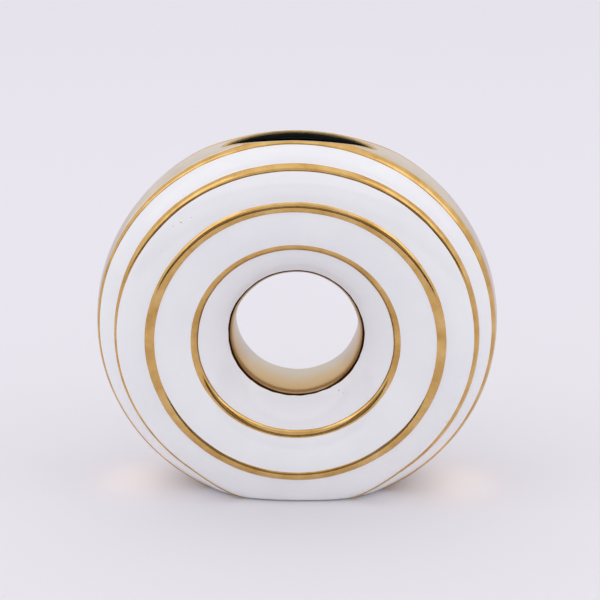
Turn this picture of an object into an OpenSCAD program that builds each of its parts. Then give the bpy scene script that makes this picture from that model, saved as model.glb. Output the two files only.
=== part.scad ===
// Ring vase in glazed porcelain with fired gold bands.
// The ring stands upright. The ring's axis runs front to back along Y and the front faces -Y.
// Millimetres. Z is up and z = 0 is the plane the foot stands on.

/* [Ring] */
// Radius of the ring at the middle of its rim
rim_radius = 150; // [148:0.5:153]
// Radius of the round hole at its narrowest
hole_radius = 46; // [44:0.5:47.5]
// Height of the ring's axis above the table
axis_height = 132; // [131:0.5:135]
// Thickness of the porcelain wall
wall = 4.5; // [4:0.1:5.5]
// Thickness of the dark glaze inside
lining = 1; // [0.8:0.1:1.2]

/* [Hole edge] */
// Radius of the outer edge of the gilding round the hole
hole_edge_radius = 50.9; // [50:0.1:52]
// Distance of that edge in front of the middle of the ring
hole_edge_depth = 24; // [23:0.1:25]
// Distance in front of the middle where the rounded hole edge meets the hole wall
hole_wall_depth = 17; // [15:0.5:18]
// How far the hole wall bows into the hole
hole_wall_rise = 0.9; // [0.6:0.1:1.2]
// How far the rounded hole edge bows out
hole_edge_rise = 0.5; // [0.3:0.1:0.8]

/* [Band 1, nearest the hole] */
// Radius of the middle of band 1
band_1_radius = 74.6; // [73:0.1:76]
// Distance of band 1 in front of the middle of the ring
band_1_depth = 39.9; // [39:0.1:40.5]
// Width of band 1
band_1_width = 6.2; // [5:0.1:7]
// Tilt of band 1, where a positive tilt faces away from the hole
band_1_tilt = -35; // [-38:1:-30]

/* [Band 2, the broad one] */
// Radius of the middle of band 2
band_2_radius = 107.2; // [106:0.1:108]
// Distance of band 2 in front of the middle of the ring
band_2_depth = 44.7; // [44:0.1:45.5]
// Width of band 2
band_2_width = 7.3; // [6:0.1:8]
// Tilt of band 2
band_2_tilt = 12; // [8:1:15]

/* [Band 3] */
// Radius of the middle of band 3
band_3_radius = 133.3; // [132.5:0.1:134]
// Distance of band 3 in front of the middle of the ring
band_3_depth = 33.1; // [32.5:0.1:34]
// Width of band 3
band_3_width = 6.7; // [5.5:0.1:7]
// Tilt of band 3
band_3_tilt = 54; // [50:1:57]

/* [Band 4, at the rim] */
// Radius of the middle of band 4
band_4_radius = 146.8; // [146:0.1:147]
// Distance of band 4 in front of the middle of the ring
band_4_depth = 15.8; // [15:0.1:16.5]
// Width of band 4
band_4_width = 9; // [8:0.1:9.5]
// Tilt of band 4
band_4_tilt = 65; // [62:1:68]

/* [Swelling of the surface] */
// How far each white surface swells between two bands
lobe_rise = 1.5; // [1:0.1:1.7]
// How far the narrow white surface beside the rim swells
rim_lobe_rise = 0.8; // [0.5:0.1:1]
// How far each gold band stands up along its middle
band_rise = 0.5; // [0.3:0.1:0.7]
// Depth that the gold is let into the porcelain
gold_depth = 0.8; // [0.6:0.1:1]

/* [Mouth] */
// Length of the mouth slot along the rim
mouth_length = 110; // [100:1:114]
// Width of the mouth slot at its middle
mouth_width = 29; // [27:0.5:30]
// Thickness of the gilded lip round the mouth
lip_thickness = 2; // [1.5:0.1:2.2]
// How far the lip stands above the rim
lip_rise = 0.8; // [0.5:0.1:1]

/* [Foot] */
// Height of the bare foot under the glazed body
foot_height = 1; // [0.8:0.1:1.5]
// How far the foot is set in from the glazed edge
foot_inset = 2; // [1.5:0.1:3]

/* [Hidden] */
$fn = 240;
// Number of straight pieces along each swelling side of the section
segments = 6;
// Distance of the rim-side edge of band 4 from the middle, and how far the rim bows out beyond it
rim_edge = band_edge(band_4_radius, band_4_depth, band_4_width, band_4_tilt, 1);
rim_rise = rim_radius - rim_edge[0];
// Reach of the helper solids that trim the pieces, larger than the vase
reach = 2 * rim_radius + axis_height;
// Height of the flat floor inside the vase
floor_height = foot_height + wall;
// Sides of the section are numbered from the back hole edge, round the back, rim and front, to the hole wall
rim_side = 9;
first_front_band = 10;
last_front_band = 16;
front_hole_edge = 18;
front_hole_wall = 19;

// One edge of a band: end is -1 for the edge towards the hole and 1 for the edge towards the rim
function band_edge(radius, depth, width, tilt, end) =
    [radius + end * width / 2 * cos(tilt), depth - end * width / 2 * sin(tilt)];

// Corners of the front half of the section as [radius, distance in front of the middle]
front_half = [
    [hole_radius + hole_wall_rise, hole_wall_depth],
    [hole_edge_radius, hole_edge_depth],
    band_edge(band_1_radius, band_1_depth, band_1_width, band_1_tilt, -1),
    band_edge(band_1_radius, band_1_depth, band_1_width, band_1_tilt, 1),
    band_edge(band_2_radius, band_2_depth, band_2_width, band_2_tilt, -1),
    band_edge(band_2_radius, band_2_depth, band_2_width, band_2_tilt, 1),
    band_edge(band_3_radius, band_3_depth, band_3_width, band_3_tilt, -1),
    band_edge(band_3_radius, band_3_depth, band_3_width, band_3_tilt, 1),
    band_edge(band_4_radius, band_4_depth, band_4_width, band_4_tilt, -1),
    rim_edge
];
// Corners of the whole section, along the back from the hole to the rim and along the front to the hole
back_half = [for (corner = front_half) [corner[0], -corner[1]]];
corners = concat(back_half, [for (i = [rim_side : -1 : 0]) front_half[i]]);
count = len(corners);

// How far each side of the section swells, in the order of the corners
half_rises = [hole_edge_rise, lobe_rise, band_rise, lobe_rise, band_rise, lobe_rise, band_rise,
               rim_lobe_rise, band_rise];
rises = concat(half_rises, [rim_rise], [for (i = [rim_side - 1 : -1 : 0]) half_rises[i]], [hole_wall_rise]);

// Outward direction of the side from corner a to corner b
function outward(a, b) = [b[1] - a[1], a[0] - b[0]] / norm(b - a);
// Outward direction at corner i, half way between its two sides
function corner_out(i) =
    let (before = outward(corners[(i + count - 1) % count], corners[i]),
         after = outward(corners[i], corners[(i + 1) % count]))
    (before + after) / norm(before + after);
// Corner i moved outwards by a distance, or inwards when it is negative
function moved(i, distance) = corners[i % count] + distance * corner_out(i % count);
// Sides that carry a gold band are the even ones between the two hole edges
function is_band(i) = i % 2 == 0 && i > 0 && i < front_hole_edge;

// Points along side i of the section moved outwards by a distance, from its first corner up to the second
function side_points(i, distance) =
    let (a = moved(i, distance), b = moved(i + 1, distance), out = outward(a, b))
    [for (k = [0 : segments - 1])
        let (t = k / segments) a + t * (b - a) + 4 * t * (1 - t) * rises[i] * out];
// Both corners of side i sunk by the depth of the gold
function seat(i) = [moved(i, -gold_depth), moved(i + 1, -gold_depth)];

// Whole section of the ring moved outwards by a distance, flat under the raised bands
module section(distance) {
    polygon([for (i = [0 : count - 1]) each (is_band(i) ? [moved(i, distance)] : side_points(i, distance))]);
}

// Section of the ring's inside with straight sides, a distance below the corners of the outside
module inner_section(distance) {
    polygon([for (i = [0 : count - 1]) moved(i, -distance)]);
}

// Thin layer of gold on side i of the section
module gold_section(i) {
    polygon(concat(side_points(i, 0), [corners[i + 1], seat(i)[1], seat(i)[0]]));
}

// Gold round the hole: its wall and the rounded edge at each end
module hole_gold_section() {
    polygon(concat(
        side_points(front_hole_edge, 0),
        side_points(front_hole_wall, 0),
        side_points(0, 0),
        [corners[1]],
        [for (i = [1, 0, front_hole_wall, front_hole_edge]) moved(i, -gold_depth)]
    ));
}

// Section of the front casting, cut back at every layer of gold
module casting_section() {
    rim_seat = moved(first_front_band, -gold_depth);
    hole_seat = moved(front_hole_wall, -gold_depth);
    polygon(concat(
        [[rim_seat[0], 0]],
        [for (i = [first_front_band : 2 : last_front_band])
            each concat(seat(i), side_points(i + 1, 0), [corners[i + 2]])],
        [moved(front_hole_edge, -gold_depth), hole_seat, [hole_seat[0], 0]]
    ));
}

// Turns a section about the ring's axis, with the section's upper half towards the front
module turned() {
    translate([0, 0, axis_height]) rotate([90, 0, 0]) rotate_extrude() children();
}

// Everything between two heights
module slab(low, high) {
    translate([-reach / 2, -reach / 2, low]) cube([reach, reach, high - low]);
}

// Upright cylinder from the middle of the hollow whose front wall is the front edge of the mouth
module mouth_front(margin) {
    radius = (mouth_length * mouth_length + mouth_width * mouth_width) / (4 * mouth_width);
    translate([0, radius - mouth_width / 2, axis_height + (hole_radius + rim_radius) / 2])
        cylinder(r = radius + margin, h = rim_radius);
}

// Upright prism with the pointed oval outline of the mouth, grown by a margin
module mouth_prism(margin) {
    intersection() {
        mouth_front(margin);
        mirror([0, 1, 0]) mouth_front(margin);
    }
}

// Gold layer on the outside of the ring, cut back to the lip and to the flat under the body
module outer_gold(i) {
    difference() {
        intersection() {
            turned() gold_section(i);
            slab(foot_height, reach);
        }
        mouth_prism(lip_thickness);
    }
}

// Hollow inside the porcelain, inset by a margin, with a flat floor
module hollow(margin) {
    intersection() {
        turned() inner_section(wall + margin);
        slab(floor_height + margin, reach);
    }
}

// Front half of the cast body
module casting() {
    difference() {
        difference() {
            intersection() {
                turned() casting_section();
                slab(foot_height, reach);
            }
            hollow(0);
        }
        mouth_front(lip_thickness);
    }
}

// Band number n on the front
module band(n) {
    outer_gold(front_hole_edge - 2 * n);
}

module front_shell() { color([0.93, 0.93, 0.94]) casting(); }

module back_shell() { color([0.9, 0.9, 0.92]) mirror([0, 1, 0]) casting(); }

module inner_glaze() {
    color([0.06, 0.07, 0.07]) difference() {
        hollow(0);
        hollow(lining);
        mouth_prism(0);
    }
}

module foot() {
    color([0.82, 0.78, 0.72]) intersection() {
        turned() section(-foot_inset);
        slab(0, foot_height);
    }
}

module mouth_lip() {
    color([0.85, 0.62, 0.25]) difference() {
        intersection() {
            mouth_prism(lip_thickness);
            turned() section(lip_rise);
        }
        turned() inner_section(wall);
        mouth_prism(0);
    }
}

module rim_gilding_left() {
    color([0.8, 0.6, 0.28]) intersection() {
        outer_gold(rim_side);
        translate([-reach, -reach / 2, 0]) cube(reach);
    }
}

module rim_gilding_right() { mirror([1, 0, 0]) rim_gilding_left(); }

module hole_gilding() {
    color([0.8, 0.6, 0.28]) turned() hole_gold_section();
}

module front_band_1() { color([0.85, 0.62, 0.25]) band(1); }

module front_band_2() { color([0.85, 0.62, 0.25]) band(2); }

module front_band_3() { color([0.85, 0.62, 0.25]) band(3); }

module front_band_4() { color([0.85, 0.62, 0.25]) band(4); }

module back_band_1() { mirror([0, 1, 0]) front_band_1(); }

module back_band_2() { mirror([0, 1, 0]) front_band_2(); }

module back_band_3() { mirror([0, 1, 0]) front_band_3(); }

module back_band_4() { mirror([0, 1, 0]) front_band_4(); }

front_shell();
back_shell();
inner_glaze();
foot();
mouth_lip();
rim_gilding_left();
rim_gilding_right();
hole_gilding();
front_band_1();
front_band_2();
front_band_3();
front_band_4();
back_band_1();
back_band_2();
back_band_3();
back_band_4();
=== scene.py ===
"""Looks of the gilded ring vase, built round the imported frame. Metres, Z up, the front faces -Y."""

import math

import bmesh
import bpy
import numpy as np
from mathutils import Euler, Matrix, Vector


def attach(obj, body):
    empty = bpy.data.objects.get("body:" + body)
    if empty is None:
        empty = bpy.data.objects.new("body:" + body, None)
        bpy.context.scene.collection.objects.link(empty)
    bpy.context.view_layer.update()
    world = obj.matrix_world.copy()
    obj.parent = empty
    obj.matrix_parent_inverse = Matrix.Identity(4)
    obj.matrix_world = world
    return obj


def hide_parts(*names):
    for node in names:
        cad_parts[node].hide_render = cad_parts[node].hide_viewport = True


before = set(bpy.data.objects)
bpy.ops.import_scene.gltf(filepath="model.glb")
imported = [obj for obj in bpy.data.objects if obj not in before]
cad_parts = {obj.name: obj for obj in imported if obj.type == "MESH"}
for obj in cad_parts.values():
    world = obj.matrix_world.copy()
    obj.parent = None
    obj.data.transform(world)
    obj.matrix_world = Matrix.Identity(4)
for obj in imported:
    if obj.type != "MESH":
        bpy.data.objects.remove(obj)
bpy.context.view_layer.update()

MM = 0.001
TAU = 2 * math.pi

# ---------------------------------------------------------------- shape of the ring, in millimetres
AXIS = 132.0            # height of the ring's axis
WALL = 4.5              # thickness of the porcelain
FOOT = 1.0              # height of the bare foot
MOUTH_LEFT = 54.5       # how far the mouth reaches to the left of the middle
MOUTH_RIGHT = 58.0      # and to the right
MOUTH_SIDE = 15.4       # half its width
TIP_SAG = 1.4           # how far the rim has sunk at the mouth's tips
TIP_SHIFT = 0.8         # and how far it has moved forward there
BANDS = (               # radius, depth, width and tilt in degrees, from the hole outwards
    (74.6, 39.9, 6.2, -35.0),
    (107.2, 44.7, 7.3, 12.0),
    (133.3, 33.1, 6.7, 54.0),
    (146.8, 15.8, 9.0, 65.0))
BAND_CROWNS = (0.32, 1.1, 0.45, 0.5)
HOLE_RADIUS = 46.0
HOLE_WALL = (46.9, 17.0)
HOLE_EDGE = (50.9, 24.0)
RIM_RADIUS = 150.0
MOUTH_RADIUS = RIM_RADIUS - 0.3         # where the mouth's outline is laid out
SAG_LOW, SAG_HIGH = AXIS + 90, AXIS + 118       # heights between which the rim's sag sets in
STEP = 0.25             # spacing of the finely sampled section
FILLET = 0.9            # how far the corners of the section are rounded
SWELLS = (0.25, 0.7, 1.5, 0.55, 1.5, 0.75, 1.5, 0.5, 0.8, 0.6, 0.3)     # of each side of the section
BODY_SPACING = 1.15     # between the rings of the body's mesh
UNDER = 0.35            # how deep each gold layer reaches into the porcelain


def band_edge(band, end):
    radius, depth, width, tilt = band
    t = math.radians(tilt)
    return radius + end * width / 2 * math.cos(t), depth - end * width / 2 * math.sin(t)


def swollen(a, b, rise):
    """Points from a to just before b on a line that swells to its left by a rise."""
    a, b = np.array(a), np.array(b)
    length = np.linalg.norm(b - a)
    n = max(int(round(length / STEP)), 2)
    t = np.arange(n) / n
    along = (b - a) / length
    out = np.array([-along[1], along[0]])
    return a + t[:, None] * (b - a) + (rise * (1 - np.abs(2 * t - 1) ** 2))[:, None] * out


def smooth(points, sigma):
    """A polyline smoothed along its length, mirrored in y at both ends to meet its mirror image squarely."""
    flip = np.array([1.0, -1.0])
    pad = 60
    p = np.concatenate([points[pad:0:-1] * flip, points, points[-2:-pad - 2:-1] * flip])
    k = np.arange(-20, 21)
    w = np.exp(-0.5 * (k / sigma) ** 2)
    w /= w.sum()
    out = np.stack([np.convolve(p[:, i], w, "same") for i in range(2)], 1)
    return out[pad:pad + len(points)]


def build_profile():
    corners = [(HOLE_RADIUS, 0.0), HOLE_WALL, HOLE_EDGE]
    for band in BANDS:
        corners += [band_edge(band, -1), band_edge(band, 1)]
    corners.append((RIM_RADIUS, 0.0))
    points, marks = [], []
    for a, b, rise in zip(corners, corners[1:], SWELLS):
        marks.append(sum(len(p) for p in points))
        points.append(swollen(a, b, rise))
    points.append(np.array([corners[-1]]))
    line = np.concatenate(points)
    marks.append(len(line) - 1)
    line = smooth(line, FILLET / STEP)
    s = np.concatenate([[0], np.cumsum(np.linalg.norm(np.diff(line, axis=0), axis=1))])
    tangent = np.gradient(line, s, axis=0)
    tangent /= np.linalg.norm(tangent, axis=1)[:, None]
    normal = np.stack([-tangent[:, 1], tangent[:, 0]], 1)
    normal[0], normal[-1] = (-1, 0), (1, 0)
    return s, line, normal, s[np.array(marks)]


S, LINE, NORMAL, MARK = build_profile()
LENGTH = S[-1]
# MARK: 0 hole middle, 1 hole wall end, 2 hole edge, 3-4 band 1, 5-6 band 2,
#       7-8 band 3, 9-10 band 4, 11 rim middle
FALL = slice(int(np.argmax(LINE[:, 1])), None)


def section_at(s, lift=0.0):
    """[radius, depth] on the section at arc length s, lifted off the surface by a distance."""
    p = np.stack([np.interp(s, S, LINE[:, i]) for i in range(2)], -1)
    n = np.stack([np.interp(s, S, NORMAL[:, i]) for i in range(2)], -1)
    return p + np.asarray(lift)[..., None] * n


def arc_at_depth(depth):
    """Arc length on the rim side of the section where it is that far in front of the middle."""
    d = LINE[FALL, 1][::-1]
    return np.interp(depth, d, S[FALL][::-1])


def mouth_half_width(x):
    """Half the width of the mouth at x."""
    u = np.abs(x) / np.where(np.asarray(x) > 0, MOUTH_RIGHT, MOUTH_LEFT)
    return MOUTH_SIDE * np.clip(1 - u ** 2.6, 0, None) ** 0.7


TIP_RIGHT = math.acos(MOUTH_RIGHT / MOUTH_RADIUS)
TIP_LEFT = math.acos(MOUTH_LEFT / MOUTH_RADIUS)
COLUMNS_MOUTH = 120
COLUMNS_REST = 300
ACROSS = 0.5 - 0.5 * np.cos(np.linspace(0, math.pi, COLUMNS_MOUTH, endpoint=False))
ANGLES = np.concatenate([
    TIP_RIGHT + (math.pi - TIP_LEFT - TIP_RIGHT) * ACROSS,
    np.linspace(math.pi - TIP_LEFT, TAU + TIP_RIGHT, COLUMNS_REST, endpoint=False)])


def soft_max(z, low, k):
    """z kept above low, with a rounded knee of size k."""
    d = (z - low) / k
    return low + k * np.where(d > 30, d, np.log1p(np.exp(np.clip(d, -60, 30))))


def wobble(angle, seed, size, orders=(2, 3, 5, 7, 11, 17, 29, 43)):
    """A smooth hand-made irregularity round the ring."""
    r = np.random.default_rng(seed)
    total = np.zeros_like(np.asarray(angle, float))
    for n in orders:
        total = total + r.normal() / n ** 0.5 * np.sin(n * np.asarray(angle) + r.uniform(0, TAU))
    return size * total / 1.6


def smoothstep(x, low, high):
    t = np.clip((np.asarray(x, float) - low) / (high - low), 0, 1)
    return t * t * (3 - 2 * t)


def mouth_sag(x, y, z):
    """How far the rim has sunk round the mouth, in millimetres: along the back lip and at the two tips."""
    back = 2.2 * smoothstep(y, -9, 8) * (1 - smoothstep(np.abs(x), 34, 78))
    tips = TIP_SAG * np.exp(-((np.abs(x) - 56) / 11) ** 2 - ((y + 1) / 8) ** 2)
    return (back + tips) * smoothstep(z, SAG_LOW, SAG_HIGH)


def mouth_shift(x, y, z):
    """How far the surface beside the mouth's tips has moved towards the front, in millimetres."""
    tips = np.exp(-((np.abs(x) - 56) / 15) ** 2) * (1 - smoothstep(np.abs(y), 3, 12.5))
    return TIP_SHIFT * tips * smoothstep(z, SAG_LOW, SAG_HIGH)


def base_bend(radius, x, z):
    """How far band 3 runs outwards as it comes down to the foot, in millimetres."""
    near = (1 - smoothstep(np.abs(x), 40, 84)) * (1 - smoothstep(z, 20, 60))
    return 3.9 * near * smoothstep(radius, 118, 130) * (1 - smoothstep(radius, 136, 149))


def hole_unevenness(angle, radius):
    """How far the hole's edge strays from a true circle, in millimetres."""
    return wobble(angle, 31, 0.42, (3, 4, 5, 7, 9)) * (1 - smoothstep(radius, 50, 66))


def place(angle, rd, side, low=FOOT, knee=0.5):
    """World points in metres of section points turned to an angle. side: -1 is the front, 1 the back."""
    radius, depth = rd[..., 0], rd[..., 1]
    radius = radius + hole_unevenness(angle, radius) * smoothstep(depth, 4, 20)
    x = radius * np.cos(angle)
    z = AXIS + radius * np.sin(angle)
    radius = radius + base_bend(radius, x, z)
    x = radius * np.cos(angle)
    z = AXIS + radius * np.sin(angle)
    y = side * depth
    y, z = y - mouth_shift(x, y, z), z - mouth_sag(x, y, z)
    return np.stack([x, y, soft_max(z, low, knee)], -1) * MM


# ---------------------------------------------------------------- meshes
def mesh_object(name, vertices, faces, material, replaces=(), sharp=None, weld=None):
    mesh = bpy.data.meshes.new(name)
    mesh.from_pydata([tuple(v) for v in vertices], [], [tuple(f) for f in faces])
    mesh.update()
    bm = bmesh.new()
    bm.from_mesh(mesh)
    if weld:
        bmesh.ops.remove_doubles(bm, verts=bm.verts, dist=weld)
        bmesh.ops.dissolve_degenerate(bm, edges=bm.edges, dist=weld)
    bmesh.ops.recalc_face_normals(bm, faces=bm.faces)
    for f in bm.faces:
        f.smooth = True
    if sharp:
        for e in bm.edges:
            if len(e.link_faces) == 2 and e.calc_face_angle(0.0) > math.radians(sharp):
                e.smooth = False
    bm.to_mesh(mesh)
    bm.free()
    obj = bpy.data.objects.new(name, mesh)
    bpy.context.scene.collection.objects.link(obj)
    mesh.materials.append(material)
    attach(obj, "root")
    if replaces:
        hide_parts(*replaces)
    return obj


def grid_faces(rows, columns, offset=0, wrap_rows=False, wrap_columns=False):
    faces = []
    for i in range(rows - (0 if wrap_rows else 1)):
        for j in range(columns - (0 if wrap_columns else 1)):
            a, b = i * columns, ((i + 1) % rows) * columns
            k = (j + 1) % columns
            faces.append((offset + a + j, offset + a + k, offset + b + k, offset + b + j))
    return faces


def column_ends(angle):
    """Arc length where the half section stops at each angle: the middle of the rim, or the mouth's edge."""
    width = mouth_half_width(MOUTH_RADIUS * np.cos(angle))
    width = np.where(np.sin(angle) > 0, width, 0.0)
    return np.where(width > 0, arc_at_depth(width), LENGTH), width


def body(name, side, material, replaces):
    """One cast half of the vase as a closed ring, cut by the mouth and flat underneath."""
    ends, width = column_ends(ANGLES)
    fixed = np.arange(0, MARK[8], BODY_SPACING)
    stretch = np.linspace(0, 1, 34)
    rings = [np.full(len(ANGLES), s) for s in fixed]
    rings += [MARK[8] + t * (ends - MARK[8]) for t in stretch]
    points = []
    for s in rings:
        points.append(place(ANGLES, section_at(s), side))
    for t in np.linspace(1, 0, 40):
        s = t * ends
        rd = section_at(s, -WALL)
        rd[:, 1] = np.maximum(rd[:, 1], width * np.clip((t - 0.9) * 10, 0, 1))
        points.append(place(ANGLES, rd, side, low=FOOT + WALL, knee=0.3))
    vertices = np.concatenate(points)
    faces = grid_faces(len(points), len(ANGLES), 0, True, True)
    return mesh_object(name, vertices, faces, material, replaces, sharp=50)


def overlay(angles, s_low, s_high, side, thickness, crown):
    """Vertices and faces of a closed gold band between two arc lengths, crowned, with rounded edges."""
    low = FOOT + 0.2
    q = 0.5 - 0.5 * np.cos(np.pi * np.linspace(0, 1, 9))
    loops = []
    for t in q:
        s = s_low + t * (s_high - s_low)
        edge = np.clip(min(t, 1 - t) / 0.16, 0, 1)
        lift = thickness * math.sin(edge * math.pi / 2) + crown * (1 - (2 * t - 1) ** 2)
        loops.append(place(angles, section_at(s, lift), side, low=low))
    for t in (0.985, 0.5, 0.015):
        s = s_low + t * (s_high - s_low)
        loops.append(place(angles, section_at(s, np.full(len(angles), -UNDER)), side, low=low))
    return np.concatenate(loops), grid_faces(len(loops), len(angles), 0, True, True)


# ---------------------------------------------------------------- materials
def new_material(name):
    m = bpy.data.materials.new(name)
    m.use_nodes = True
    tree = m.node_tree
    return m, tree, tree.nodes["Principled BSDF"]


def node(tree, kind, **values):
    n = tree.nodes.new(kind)
    for key, value in values.items():
        if key in n.inputs:
            n.inputs[key].default_value = value
        else:
            setattr(n, key, value)
    return n


def noise(tree, scale, detail=3.0, roughness=0.5, stretch=None):
    coordinate = node(tree, "ShaderNodeTexCoord")
    source = coordinate.outputs["Object"]
    if stretch:
        mapping = node(tree, "ShaderNodeMapping")
        mapping.inputs["Scale"].default_value = stretch
        tree.links.new(source, mapping.inputs["Vector"])
        source = mapping.outputs["Vector"]
    n = node(tree, "ShaderNodeTexNoise", Scale=scale, Detail=detail, Roughness=roughness)
    tree.links.new(source, n.inputs["Vector"])
    return n


def ramp(tree, source, stops):
    r = node(tree, "ShaderNodeValToRGB")
    elements = r.color_ramp.elements
    while len(elements) < len(stops):
        elements.new(0.5)
    for e, (position, colour) in zip(elements, stops):
        e.position = position
        e.color = (*colour, 1.0)
    tree.links.new(source, r.inputs["Fac"])
    return r


def bump(tree, shader, source, strength, distance, after=None):
    b = node(tree, "ShaderNodeBump", Strength=strength, Distance=distance)
    tree.links.new(source, b.inputs["Height"])
    if after:
        tree.links.new(after.outputs["Normal"], b.inputs["Normal"])
    tree.links.new(b.outputs["Normal"], shader.inputs["Normal"])
    return b


def mapped(tree, source, low, high):
    m = node(tree, "ShaderNodeMapRange")
    m.inputs["To Min"].default_value = low
    m.inputs["To Max"].default_value = high
    tree.links.new(source, m.inputs["Value"])
    return m


def glaze_material():
    m, tree, shader = new_material("white_glaze")
    cloud = noise(tree, 22.0, 4.0)
    tint = ramp(tree, cloud.outputs["Fac"], [(0.3, (0.82, 0.82, 0.835)), (0.7, (0.86, 0.86, 0.87))])
    speck = noise(tree, 900.0, 2.0)
    dots = ramp(tree, speck.outputs["Fac"], [
        (0.0, (0.30, 0.24, 0.18)), (0.205, (0.30, 0.24, 0.18)), (0.215, (1, 1, 1))])
    mix = node(tree, "ShaderNodeMix", data_type="RGBA", blend_type="MULTIPLY")
    mix.inputs[0].default_value = 1.0
    tree.links.new(tint.outputs["Color"], mix.inputs[6])
    tree.links.new(dots.outputs["Color"], mix.inputs[7])
    tree.links.new(mix.outputs[2], shader.inputs["Base Color"])
    shader.inputs["IOR"].default_value = 1.5
    rough = mapped(tree, cloud.outputs["Fac"], 0.05, 0.11)
    tree.links.new(rough.outputs["Result"], shader.inputs["Roughness"])
    ripple = noise(tree, 26.0, 2.0)
    first = bump(tree, shader, ripple.outputs["Fac"], 0.35, 0.0008)
    pits = noise(tree, 420.0, 2.0)
    bump(tree, shader, pits.outputs["Fac"], 0.08, 0.0001, after=first)
    return m


def gold_material():
    m, tree, shader = new_material("bright_gold")
    brush = noise(tree, 60.0, 5.0, 0.6)
    tint = ramp(tree, brush.outputs["Fac"], [
        (0.25, (0.48, 0.27, 0.075)), (0.5, (0.66, 0.41, 0.14)), (0.8, (0.80, 0.55, 0.25))])
    tree.links.new(tint.outputs["Color"], shader.inputs["Base Color"])
    shader.inputs["Metallic"].default_value = 1.0
    rough = mapped(tree, brush.outputs["Fac"], 0.06, 0.20)
    tree.links.new(rough.outputs["Result"], shader.inputs["Roughness"])
    streak = noise(tree, 140.0, 4.0, 0.65)
    first = bump(tree, shader, streak.outputs["Fac"], 0.30, 0.0003)
    fine = noise(tree, 900.0, 2.0)
    bump(tree, shader, fine.outputs["Fac"], 0.10, 0.00008, after=first)
    return m


def pale_gold_material():
    m, tree, shader = new_material("pale_gold")
    cloud = noise(tree, 35.0, 5.0, 0.6)
    tint = ramp(tree, cloud.outputs["Fac"], [
        (0.25, (0.60, 0.52, 0.45)), (0.55, (0.67, 0.60, 0.53)), (0.8, (0.71, 0.65, 0.58))])
    tree.links.new(tint.outputs["Color"], shader.inputs["Base Color"])
    shader.inputs["Metallic"].default_value = 1.0
    rough = mapped(tree, cloud.outputs["Fac"], 0.26, 0.38)
    tree.links.new(rough.outputs["Result"], shader.inputs["Roughness"])
    streak = noise(tree, 220.0, 3.0)
    bump(tree, shader, streak.outputs["Fac"], 0.12, 0.0002)
    return m


def hole_gold_material():
    """Gilding of the hole, with a painted reflection in its colour: tan at the front, greyer towards the
    back. A dark line of painted shade runs round the rolled edges, with smoother, bright gold beyond it.
    """
    m, tree, shader = new_material("hole_gold")
    coordinate = node(tree, "ShaderNodeTexCoord")
    split = node(tree, "ShaderNodeSeparateXYZ")
    tree.links.new(coordinate.outputs["Object"], split.inputs[0])
    depth = node(tree, "ShaderNodeMapRange")
    depth.inputs["From Min"].default_value = -0.022
    depth.inputs["From Max"].default_value = 0.020
    tree.links.new(split.outputs["Y"], depth.inputs["Value"])
    cloud = noise(tree, 40.0, 5.0, 0.6)
    # Random unevenness from the noise is added to the front-to-back change, which is a painted reflection:
    # tan at the front, greyer at the back.
    uneven_and_painted_reflection = node(tree, "ShaderNodeMath", operation="MULTIPLY_ADD")
    uneven_and_painted_reflection.inputs[1].default_value = 0.5
    tree.links.new(cloud.outputs["Fac"], uneven_and_painted_reflection.inputs[0])
    tree.links.new(depth.outputs["Result"], uneven_and_painted_reflection.inputs[2])
    wall_gilt_painted_reflection = ramp(tree, uneven_and_painted_reflection.outputs[0], [
        (0.2, (0.56, 0.37, 0.18)), (0.55, (0.58, 0.42, 0.24)), (0.95, (0.57, 0.50, 0.42))])
    height = node(tree, "ShaderNodeMath", operation="SUBTRACT")
    height.inputs[1].default_value = AXIS * MM
    tree.links.new(split.outputs["Z"], height.inputs[0])
    flat = node(tree, "ShaderNodeCombineXYZ")
    tree.links.new(split.outputs["X"], flat.inputs["X"])
    tree.links.new(height.outputs[0], flat.inputs["Y"])
    radius = node(tree, "ShaderNodeVectorMath", operation="LENGTH")
    tree.links.new(flat.outputs[0], radius.inputs[0])
    edge = node(tree, "ShaderNodeMapRange")
    edge.inputs["From Min"].default_value = 0.0488
    edge.inputs["From Max"].default_value = 0.0514
    tree.links.new(radius.outputs["Value"], edge.inputs["Value"])
    # Painted shade: a dark line across the rolled edge of the hole, between radii 48.8 and 51.4 mm, going
    # back to the gold beyond it.
    line = ramp(tree, edge.outputs["Result"], [
        (0.0, (1.0, 1.0, 1.0)), (0.10, (0.80, 0.68, 0.55)),
        (0.26, (0.05, 0.02, 0.01)), (0.70, (0.05, 0.02, 0.01)),
        (0.82, (0.9, 0.75, 0.45))])
    mix = node(tree, "ShaderNodeMix", data_type="RGBA", blend_type="MULTIPLY")
    mix.inputs[0].default_value = 1.0
    tree.links.new(wall_gilt_painted_reflection.outputs["Color"], mix.inputs[6])
    tree.links.new(line.outputs["Color"], mix.inputs[7])
    tree.links.new(mix.outputs[2], shader.inputs["Base Color"])
    shader.inputs["Metallic"].default_value = 1.0
    rough = mapped(tree, edge.outputs["Result"], 0.30, 0.16)
    tree.links.new(rough.outputs["Result"], shader.inputs["Roughness"])
    streak = noise(tree, 180.0, 3.0)
    bump(tree, shader, streak.outputs["Fac"], 0.15, 0.0002)
    return m


def lip_material():
    """The mouth's roll: a thin gold wash, half metallic, uneven in tint and roughness along the brush."""
    m, tree, shader = new_material("lip_gold")
    brush = noise(tree, 70.0, 5.0, 0.6)
    tint = ramp(tree, brush.outputs["Fac"], [
        (0.25, (0.46, 0.29, 0.11)), (0.5, (0.60, 0.43, 0.21)), (0.8, (0.70, 0.54, 0.32))])
    tree.links.new(tint.outputs["Color"], shader.inputs["Base Color"])
    shader.inputs["Metallic"].default_value = 0.55
    rough = mapped(tree, brush.outputs["Fac"], 0.20, 0.34)
    tree.links.new(rough.outputs["Result"], shader.inputs["Roughness"])
    streak = noise(tree, 160.0, 4.0, 0.65)
    bump(tree, shader, streak.outputs["Fac"], 0.25, 0.0003)
    return m


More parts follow.
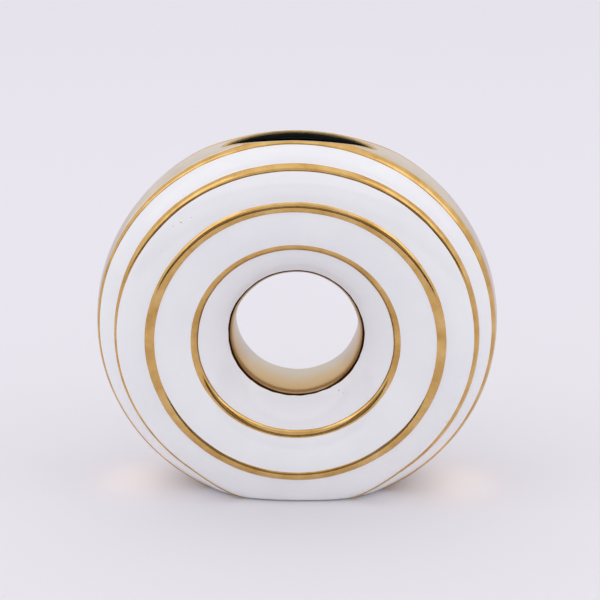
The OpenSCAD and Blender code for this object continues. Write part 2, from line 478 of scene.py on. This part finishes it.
def dark_material():
    m, tree, shader = new_material("dark_glaze")
    cloud = noise(tree, 40.0, 4.0)
    tint = ramp(tree, cloud.outputs["Fac"], [(0.3, (0.008, 0.010, 0.010)), (0.7, (0.022, 0.027, 0.025))])
    tree.links.new(tint.outputs["Color"], shader.inputs["Base Color"])
    rough = mapped(tree, cloud.outputs["Fac"], 0.12, 0.26)
    tree.links.new(rough.outputs["Result"], shader.inputs["Roughness"])
    shader.inputs["Specular IOR Level"].default_value = 0.16
    ripple = noise(tree, 60.0, 3.0)
    bump(tree, shader, ripple.outputs["Fac"], 0.4, 0.0008)
    return m


def bare_material():
    m, tree, shader = new_material("bare_porcelain")
    grain = noise(tree, 1400.0, 3.0)
    cloud = noise(tree, 60.0, 4.0)
    tint = ramp(tree, cloud.outputs["Fac"], [(0.3, (0.66, 0.60, 0.53)), (0.7, (0.76, 0.71, 0.64))])
    tree.links.new(tint.outputs["Color"], shader.inputs["Base Color"])
    shader.inputs["Roughness"].default_value = 0.75
    bump(tree, shader, grain.outputs["Fac"], 0.4, 0.0001)
    return m


WHITE = glaze_material()
GOLD = gold_material()
PALE = pale_gold_material()
HOLE = hole_gold_material()
DARK = dark_material()
LIP = lip_material()
BARE = bare_material()

# ---------------------------------------------------------------- the vase
body("front_body", -1, WHITE, ("front_shell",))
body("back_body", 1, WHITE, ("back_shell",))

BAND_COLUMNS = 720
band_angles = np.linspace(0, TAU, BAND_COLUMNS, endpoint=False) + TIP_RIGHT


def band_piece(name, number, side, node_name):
    a = band_angles
    inner, outer = MARK[1 + 2 * number], MARK[2 + 2 * number]
    seed = 10 * number + (1 if side > 0 else 0)
    low = inner + wobble(a, seed + 100, 0.22)
    high = outer + wobble(a, seed + 200, 0.22)
    if number == 3:
        slim = (outer - inner) * 0.55 * smoothstep(-np.sin(a + 0.6), -0.1, 0.6)
        low, high = low + 0.4 * slim, high - 0.6 * slim
    if number == 4:
        left = 0.5 - 0.5 * np.cos(a)
        low = low + (outer - inner) * 0.32 * left
        high = high - (outer - inner) * (0.12 + 0.2 * smoothstep(-np.sin(a), 0.1, 0.7)) * left
        ends, width = column_ends(a)
        high = np.minimum(high, np.where(width > 0, ends - 0.6, high))
        low = np.minimum(low, high - 1.2)
    vertices, faces = overlay(a, low, high, side, 0.14, BAND_CROWNS[number - 1])
    mesh_object(name, vertices, faces, GOLD, (node_name,), sharp=60)


for n in range(1, 5):
    band_piece(f"front_gold_{n}", n, -1, f"front_band_{n}")
    band_piece(f"back_gold_{n}", n, 1, f"back_band_{n}")


def hole_gold():
    """Gilding of the hole: one closed sleeve from the back edge, through the hole, to the front edge."""
    a = np.linspace(0, TAU, 480, endpoint=False)
    rim_front = MARK[2] - 0.35 + wobble(a, 301, 0.3)
    rim_back = MARK[2] - 0.35 + wobble(a, 302, 0.3)
    loops = []
    steps = np.linspace(1, 0, 26)
    for t in steps[:-1]:
        lift = 0.14 * math.sin(min(1.0, (1 - t) / 0.06) * math.pi / 2)
        loops.append(place(a, section_at(rim_front * t, lift), -1))
    for t in steps[::-1]:
        lift = 0.14 * math.sin(min(1.0, (1 - t) / 0.06) * math.pi / 2)
        loops.append(place(a, section_at(rim_back * t, lift), 1))
    for t in (0.98, 0.5):
        loops.append(place(a, section_at(rim_back * t, np.full(len(a), -UNDER)), 1))
    for t in (0.0, 0.5, 0.98):
        loops.append(place(a, section_at(rim_front * t, np.full(len(a), -UNDER)), -1))
    vertices = np.concatenate(loops)
    faces = grid_faces(len(loops), len(a), 0, True, True)
    mesh_object("hole_gold", vertices, faces, HOLE, ("hole_gilding",), sharp=60)


hole_gold()


def rim_gold(name, left, node_name):
    """Gilding of one side of the rim, from mouth to foot, in two strips that join beyond the mouth's tip."""
    base = -math.asin((AXIS - FOOT) / RIM_RADIUS)
    tip = TIP_LEFT if left else TIP_RIGHT
    near = 1 - (1 - np.linspace(0, 1, 60)) ** 2
    start = math.pi / 2 - 0.09
    mouth = start + near * (tip - start)
    rest = np.linspace(tip, base - 0.02, 200)[1:]
    a = np.concatenate([mouth, rest])
    if left:
        a = math.pi - a
    ends, width = column_ends(a)
    vertices, faces = [], []
    for side in (-1, 1):
        first = np.minimum(MARK[10] - 0.3, ends - 0.5)
        rows = []
        for t in np.linspace(0, 1, 12):
            s = first + t * (ends - first)
            lift = 0.12 * math.sin(min(1.0, t / 0.12) * math.pi / 2)
            rows.append(place(a, section_at(s, lift), side, low=FOOT + 0.2))
        for t in (1.0, 0.5, 0.02):
            s = first + t * (ends - first)
            rows.append(place(a, section_at(s, np.full(len(a), -UNDER)), side, low=FOOT + 0.2))
        offset = sum(len(v) for v in vertices)
        points = np.concatenate(rows)
        n = len(a)
        top = 12
        split = len(mouth) - 1
        for i in range(len(rows)):
            k = (i + 1) % len(rows)
            for j in range(n - 1):
                if i == top - 1 and j >= split:
                    continue        # the strips are joined here, so there is no wall between them
                this, after = offset + i * n + j, offset + k * n + j
                faces.append((this, this + 1, after + 1, after))
        faces.append(tuple(offset + i * n for i in range(len(rows))))
        faces.append(tuple(offset + i * n + n - 1 for i in range(len(rows))))
        vertices.append(points)
    mesh_object(name, np.concatenate(vertices), faces, PALE, (node_name,), sharp=60, weld=2e-6)


rim_gold("rim_gold_right", False, "rim_gilding_right")
rim_gold("rim_gold_left", True, "rim_gilding_left")


def mouth_path(count):
    """Closed outline of the mouth on the rim, its tips slightly rounded: points and outward directions."""
    x = np.cos(np.linspace(0, math.pi, count // 2, endpoint=False))
    x = x * np.where(x > 0, MOUTH_RIGHT, MOUTH_LEFT)
    front = np.stack([x, -mouth_half_width(x)], 1)
    x = np.cos(np.linspace(math.pi, TAU, count // 2, endpoint=False))
    x = x * np.where(x > 0, MOUTH_RIGHT, MOUTH_LEFT)
    back = np.stack([x, mouth_half_width(x)], 1)
    outline = np.concatenate([front, back])
    fine = np.concatenate([outline, outline[:1]])
    s = np.concatenate([[0], np.cumsum(np.linalg.norm(np.diff(fine, axis=0), axis=1))])
    even = np.linspace(0, s[-1], count, endpoint=False)
    p = np.stack([np.interp(even, s, fine[:, i]) for i in range(2)], 1)
    sigma = 1.3 / (s[-1] / count)
    k = np.arange(-int(4 * sigma) - 1, int(4 * sigma) + 2)
    w = np.exp(-0.5 * (k / sigma) ** 2)
    w /= w.sum()
    p = sum(wk * np.roll(p, -kk, axis=0) for wk, kk in zip(w, k))
    tangent = np.roll(p, -1, axis=0) - np.roll(p, 1, axis=0)
    tangent /= np.linalg.norm(tangent, axis=1)[:, None]
    outward = np.stack([-tangent[:, 1], tangent[:, 0]], 1)
    outward *= np.sign((outward * p).sum())
    return p, outward


def rim_height(x, y):
    """Height of the uncut outside surface above a point of the mouth."""
    depth = np.abs(y)
    radius = np.interp(depth, LINE[FALL, 1][::-1], LINE[FALL, 0][::-1])
    return AXIS + np.sqrt(np.clip(radius ** 2 - x ** 2, 0, None))


def mouth_ring(profile, ragged, least):
    """A closed ring round the mouth. Profile points are a reach in roll widths and a height in mm."""
    p, outward = mouth_path(640)
    a = np.arctan2(p[:, 1], p[:, 0])
    broad = 2.0 + 0.35 * wobble(a, 71, 1.0, (2, 3, 5, 9))
    inward = least + (1 - least) * smoothstep(p[:, 1], -2, 8)
    loops = []
    for out, up in profile:
        reach = broad * out * (inward if out < 0 else 1.0)
        xy = p + outward * reach[:, None]
        base = rim_height(*(p + outward * np.maximum(reach, 0)[:, None]).T)
        drip = ragged * wobble(a, 72, 1.0, (3, 7, 13, 23)) if -2.5 < up < -1.2 else 0.0
        lean = 1 + up / RIM_RADIUS          # the cut wall runs towards the ring's axis
        z = AXIS + (base - AXIS) * lean + drip - mouth_sag(xy[:, 0], xy[:, 1], base)
        y = xy[:, 1] - mouth_shift(xy[:, 0], xy[:, 1], base)
        loops.append(np.stack([xy[:, 0] * lean, y, z], 1) * MM)
    return np.concatenate(loops), grid_faces(len(loops), len(p), 0, True, True)


def mouth_lip():
    vertices, faces = mouth_ring([
        (0.9, -0.5), (0.86, 0.02), (0.74, 0.16), (0.5, 0.30), (0.22, 0.32), (-0.04, 0.16), (-0.20, -0.2),
        (-0.28, -0.6), (-0.32, -1.0), (-0.32, -1.5), (-0.25, -1.9), (0.0, -1.8), (0.12, -1.0)], 0.3, 0.25)
    mesh_object("mouth_gold_lip", vertices, faces, LIP, ("mouth_lip",), sharp=60)


def mouth_collar():
    """Dark glaze running up the cut wall of the mouth to the gold."""
    vertices, faces = mouth_ring([
        (-0.04, -1.3), (-0.16, -1.8), (-0.22, -3.6), (-0.20, -5.0),
        (0.1, -5.6), (0.4, -5.0), (0.3, -3.2), (0.15, -1.3)], 0.0, 0.7)
    mesh_object("mouth_glaze_collar", vertices, faces, DARK, sharp=60)


mouth_lip()
mouth_collar()


def inside():
    """Dark glossy glaze inside: a thin layer on both casts' inner walls, open at the mouth."""
    a = ANGLES
    ends, width = column_ends(a)
    loops = []
    for side in (-1, 1):
        order = np.linspace(1, 0, 60)
        if side > 0:
            order = order[::-1]
        for t in order:
            s = t * ends
            rd = section_at(s, -WALL - 0.15)
            rd[:, 1] = np.maximum(rd[:, 1], width * np.clip((t - 0.9) * 10, 0, 1))
            if side > 0 and t == 0:
                continue
            loops.append((side, rd))
    outer = [place(a, rd, side, low=FOOT + WALL + 0.15, knee=0.3) for side, rd in loops]
    inner = []
    for side, rd in reversed(loops):
        centre = np.array([97.0, 0.0])
        away = rd - centre
        away = away / np.linalg.norm(away, axis=1)[:, None]
        inner.append(place(a, rd - 0.8 * away, side, low=FOOT + WALL + 1.0, knee=0.3))
    rings = outer + inner
    vertices = np.concatenate(rings)
    faces = grid_faces(len(rings), len(a), 0, True, True)
    # Where the two sides join there is no wall between them.
    whole = (width < 1e-6) & (np.roll(width, -1) < 1e-6)
    ends_of_layer = (len(outer) - 1, len(rings) - 1)
    faces = [f for k, f in enumerate(faces) if not (k // len(a) in ends_of_layer and whole[k % len(a)])]
    mesh_object("inside_glaze", vertices, faces, DARK, ("inner_glaze",), sharp=60, weld=2e-6)


inside()


def foot_piece():
    """Bare ground ring under the vase, with a rounded edge."""
    depth = LINE[FALL, 1]
    radius = LINE[FALL, 0]
    level = AXIS - FOOT
    keep = radius > level
    d, r = depth[keep], radius[keep]
    front = np.stack([np.sqrt(r ** 2 - level ** 2), -d], 1)
    quarter = np.concatenate([[[0.0, -float(np.interp(level, r, d))]], front])
    outline = np.concatenate([quarter, quarter[::-1] * [1, -1], quarter * [-1, -1], quarter[::-1] * [-1, 1]])
    keep = np.concatenate([[True], np.linalg.norm(np.diff(outline, axis=0), axis=1) > 1e-6])
    outline = outline[keep]
    closed = np.concatenate([outline, outline[:1]])
    s = np.concatenate([[0], np.cumsum(np.linalg.norm(np.diff(closed, axis=0), axis=1))])
    even = np.linspace(0, s[-1], 360, endpoint=False)
    p = np.stack([np.interp(even, s, closed[:, i]) for i in range(2)], 1)
    scale = np.array([1 - 2.0 / p[:, 0].max(), 1 - 2.0 / p[:, 1].max()])
    loops = []
    for shrink, z in ((1.0, 1.6), (1.0, 0.35), (0.995, 0.1), (0.985, 0.0), (0.6, 0.0), (0.2, 0.0)):
        loops.append(np.concatenate([p * scale * shrink, np.full((len(p), 1), z)], 1) * MM)
    vertices = np.concatenate(loops)
    faces = grid_faces(len(loops), len(p), 0, False, True)
    n = len(p)
    faces.append(tuple(range(n)))
    faces.append(tuple((len(loops) - 1) * n + i for i in reversed(range(n))))
    mesh_object("foot_ring", vertices, faces, BARE, ("foot",), sharp=50)


foot_piece()


SPECKS = (              # angle in degrees, radius and size in millimetres
    (131.5, 124.5, 1.0), (134.5, 126.0, 0.6), (127.5, 122.5, 0.6), (-54.0, 54.5, 0.9),
    (-52.0, 57.0, 0.6), (-30.0, 130.0, 1.0), (83.0, 109.5, 0.7))


def gold_specks():
    """Small drips of gold that fell beside the bands on the front: flat rounded domes."""
    vertices, faces = [], []
    for index, (degrees, radius, size) in enumerate(SPECKS):
        s0 = float(np.interp(radius, LINE[:, 0], S))
        a0 = math.radians(degrees)
        n, rings = 14, ((1.0, -0.3), (1.0, 0.0), (0.85, 0.09), (0.5, 0.15))
        offset = len(vertices)
        turn = np.linspace(0, TAU, n, endpoint=False)
        blot = 1 + wobble(turn, 500 + index, 0.18, (1, 2, 3))
        for reach, lift in rings:
            s = s0 + reach * size * 0.6 * blot * np.sin(turn)
            a = a0 + reach * size * 0.45 * blot * np.cos(turn) / radius
            vertices.extend(place(a, section_at(s, np.full(n, lift)), -1))
        faces.extend(grid_faces(len(rings), n, offset, False, True))
        faces.append(tuple(offset + i for i in range(n)))
        faces.append(tuple(offset + (len(rings) - 1) * n + i for i in reversed(range(n))))
    mesh_object("gold_specks", vertices, faces, GOLD)


gold_specks()

# ---------------------------------------------------------------- floor, lights and camera
def floor():
    bm = bmesh.new()
    bmesh.ops.create_circle(bm, cap_ends=True, segments=96, radius=6.0)
    mesh = bpy.data.meshes.new("floor")
    bm.to_mesh(mesh)
    bm.free()
    obj = bpy.data.objects.new("floor", mesh)
    bpy.context.scene.collection.objects.link(obj)
    m, tree, shader = new_material("floor")
    coordinate = node(tree, "ShaderNodeTexCoord")
    split = node(tree, "ShaderNodeSeparateXYZ")
    tree.links.new(coordinate.outputs["Object"], split.inputs[0])
    far = node(tree, "ShaderNodeMapRange")
    far.interpolation_type = "SMOOTHSTEP"
    far.inputs["From Min"].default_value = 0.50
    far.inputs["From Max"].default_value = 0.56
    tree.links.new(split.outputs["Y"], far.inputs["Value"])
    tint = ramp(tree, far.outputs["Result"], [(0.0, (0.795, 0.78, 0.815)), (1.0, (0.80, 0.785, 0.825))])
    tree.links.new(tint.outputs["Color"], shader.inputs["Base Color"])
    shader.inputs["Roughness"].default_value = 0.85
    shader.inputs["Specular IOR Level"].default_value = 0.2
    mesh.materials.append(m)
    obj.location.z = -0.0001


def area(name, location, target, size, power, colour=(1, 1, 1), size_y=None, gloss=True):
    light = bpy.data.lights.new(name, "AREA")
    light.energy = power
    light.color = colour
    light.size = size
    if size_y:
        light.shape = "RECTANGLE"
        light.size_y = size_y
    obj = bpy.data.objects.new(name, light)
    bpy.context.scene.collection.objects.link(obj)
    direction = Vector(target) - Vector(location)
    obj.location = location
    obj.rotation_euler = direction.to_track_quat("-Z", "Y").to_euler()
    obj.visible_camera = False
    obj.visible_glossy = gloss


floor()
area("soft_left", (-1.7, -0.5, 1.7), (0, 0, 0.15), 1.3, 4.3, size_y=1.7)
area("soft_right", (1.7, -0.4, 1.6), (0, 0, 0.15), 1.3, 4.1, size_y=1.7)
area("soft_top", (0.0, 0.3, 2.4), (0, 0, 0.1), 2.4, 2.6)
# The gold under each flank throws a warm glow on the floor.
WARM = (1.0, 0.72, 0.5)
area("glow_left", (-0.124, -0.005, 0.021), (-0.122, -0.006, 0.0), 0.045, 0.0022, colour=WARM, gloss=False)
area("glow_right", (0.124, -0.005, 0.021), (0.122, -0.006, 0.0), 0.045, 0.0022, colour=WARM, gloss=False)

EVEN_LIGHT = 0.83 * 1.14        # strength of the even background


def studio_world():
    """An even pale background, and for reflections a room of its own, dark in front and bright above."""
    world = bpy.data.worlds.new("studio")
    world.use_nodes = True
    tree = world.node_tree
    even = tree.nodes["Background"]
    even.inputs["Color"].default_value = (0.965, 0.955, 1.0, 1.0)
    even.inputs["Strength"].default_value = EVEN_LIGHT
    coordinate = node(tree, "ShaderNodeTexCoord")
    split = node(tree, "ShaderNodeSeparateXYZ")
    tree.links.new(coordinate.outputs["Generated"], split.inputs[0])
    front = node(tree, "ShaderNodeMapRange")
    front.interpolation_type = "SMOOTHSTEP"
    front.inputs["From Min"].default_value = -0.55
    front.inputs["From Max"].default_value = -0.25
    tree.links.new(split.outputs["Y"], front.inputs["Value"])
    room = ramp(tree, split.outputs["Z"], [
        (0.0, (0.02, 0.012, 0.006)), (0.10, (0.02, 0.012, 0.006)),
        (0.16, (0.34, 0.30, 0.26)), (0.36, (0.42, 0.38, 0.34)),
        (0.41, (0.03, 0.016, 0.008)), (0.48, (0.03, 0.016, 0.008)),
        (0.54, (1.0, 0.98, 0.95)), (0.66, (0.74, 0.72, 0.70))])
    mix_colour = node(tree, "ShaderNodeMix", data_type="RGBA")
    tree.links.new(front.outputs["Result"], mix_colour.inputs[0])
    tree.links.new(room.outputs["Color"], mix_colour.inputs[6])
    mix_colour.inputs[7].default_value = (0.95, 0.93, 0.91, 1.0)
    gloss = node(tree, "ShaderNodeBackground")
    tree.links.new(mix_colour.outputs[2], gloss.inputs["Color"])
    path = node(tree, "ShaderNodeLightPath")
    mix = node(tree, "ShaderNodeMixShader")
    tree.links.new(path.outputs["Is Glossy Ray"], mix.inputs[0])
    tree.links.new(even.outputs[0], mix.inputs[1])
    tree.links.new(gloss.outputs[0], mix.inputs[2])
    tree.links.new(mix.outputs[0], tree.nodes["World Output"].inputs["Surface"])
    bpy.context.scene.world = world


studio_world()

camera = bpy.data.cameras.new("camera")
camera.lens = 132.0
camera.sensor_width = 36.0
camera.clip_end = 50.0
camera_object = bpy.data.objects.new("camera", camera)
camera_object.location = (0.0359, -1.5266, 0.7689)
camera_object.rotation_euler = Euler((math.radians(67.92), 0.0, math.radians(1.26)))
bpy.context.scene.collection.objects.link(camera_object)
bpy.context.scene.camera = camera_object
bpy.context.scene.view_settings.view_transform = "Standard"
